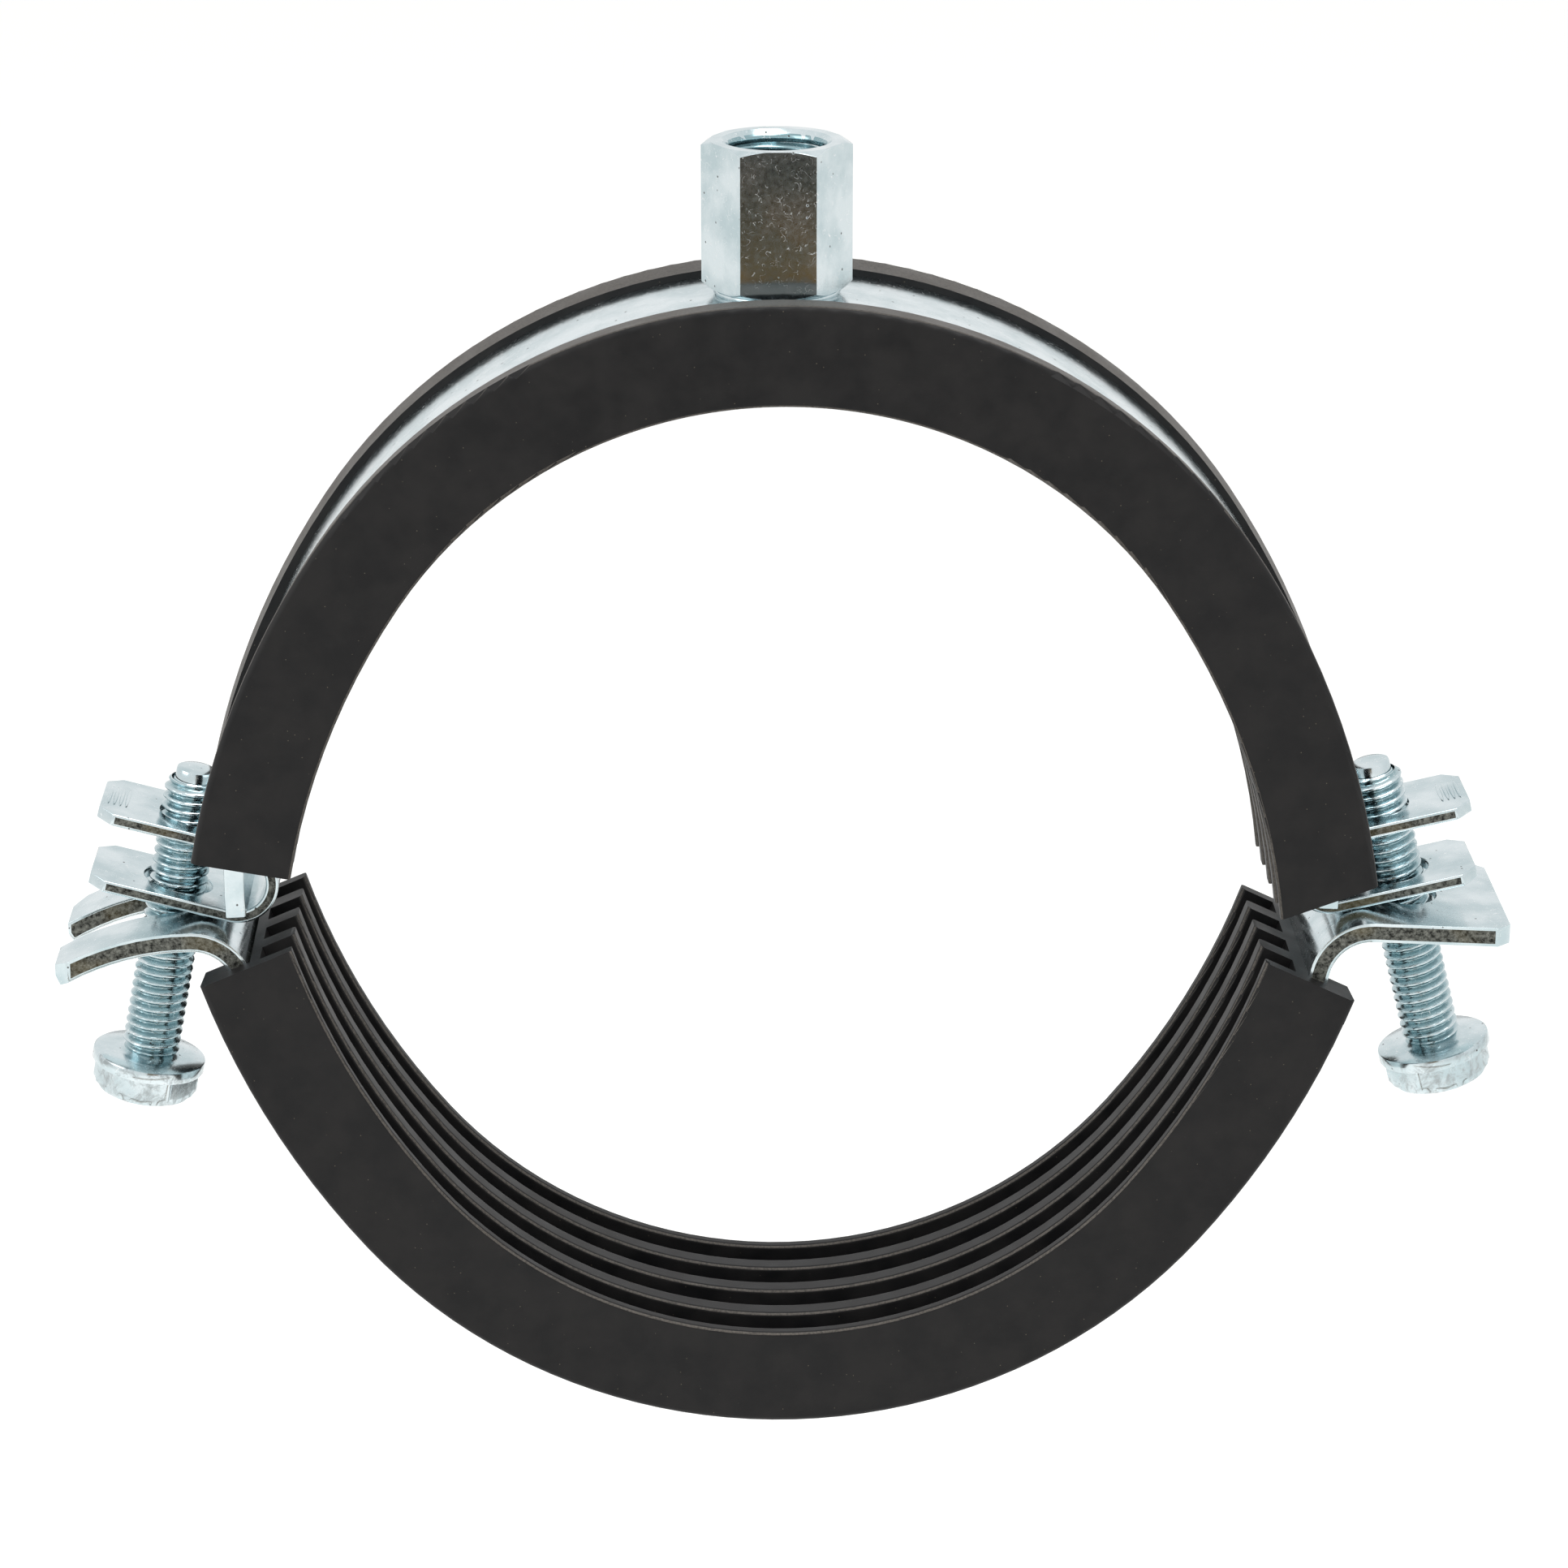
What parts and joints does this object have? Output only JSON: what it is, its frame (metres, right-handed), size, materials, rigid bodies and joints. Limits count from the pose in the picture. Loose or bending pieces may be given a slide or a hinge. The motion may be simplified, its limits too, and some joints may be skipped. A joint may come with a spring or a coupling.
{
  "type": "rubber lined pipe clamp",
  "caption": "Two-part steel pipe clamp with ribbed rubber lining, side screws in folded nut clips and a threaded connection nut on top for hanging a pipe.",
  "frame": {"origin": "on the axis of the pipe, at the centre of the upper half's central arc, in the middle of the clamp's width", "axes": "+Y along the pipe, +Z towards the connection nut, +X towards the side with the closed ear"},
  "size_m": [0.1486, 0.0238, 0.1334],
  "materials": {
    "zinc_steel": "bright zinc plated, slightly pitted",
    "rubber": "matte black extruded rubber"
  },
  "bodies": {
    "upper_half": {"upper_band": "zinc_steel", "upper_lining": "rubber", "connection_nut": "zinc_steel"},
    "lower_half": {"lower_band": "zinc_steel", "lower_lining": "rubber"},
    "left_clip": {"left_clip": "zinc_steel"},
    "right_clip": {"right_clip": "zinc_steel"},
    "left_screw": {"left_screw": "zinc_steel"},
    "right_screw": {"right_screw": "zinc_steel"}
  },
  "joints": [
    {"name": "left_clip_tilt", "type": "hinge", "parent": "upper_half", "child": "left_clip", "pos_m": [-0.05563, 0, -0.0053], "axis": [0, 1, 0], "range_deg": [0, 6]},
    {"name": "right_clip_tilt", "type": "hinge", "parent": "upper_half", "child": "right_clip", "pos_m": [0.05633, 0, -0.0053], "axis": [0, -1, 0], "range_deg": [0, 1.5]},
    {"name": "left_screw_turn", "type": "hinge", "parent": "left_clip", "child": "left_screw", "pos_m": [-0.06152, 0, -0.00372], "axis": [-0.1908, 0, -0.9816], "continuous": true},
    {"name": "right_screw_turn", "type": "hinge", "parent": "right_clip", "child": "right_screw", "pos_m": [0.06276, 0, -0.00384], "axis": [0.2453, 0, -0.9694], "continuous": true},
    {"name": "lower_half_travel", "type": "slide", "parent": "upper_half", "child": "lower_half", "axis": [-0.2453, 0, 0.9694], "range_m": [-0.0095, 0]}
  ]
}
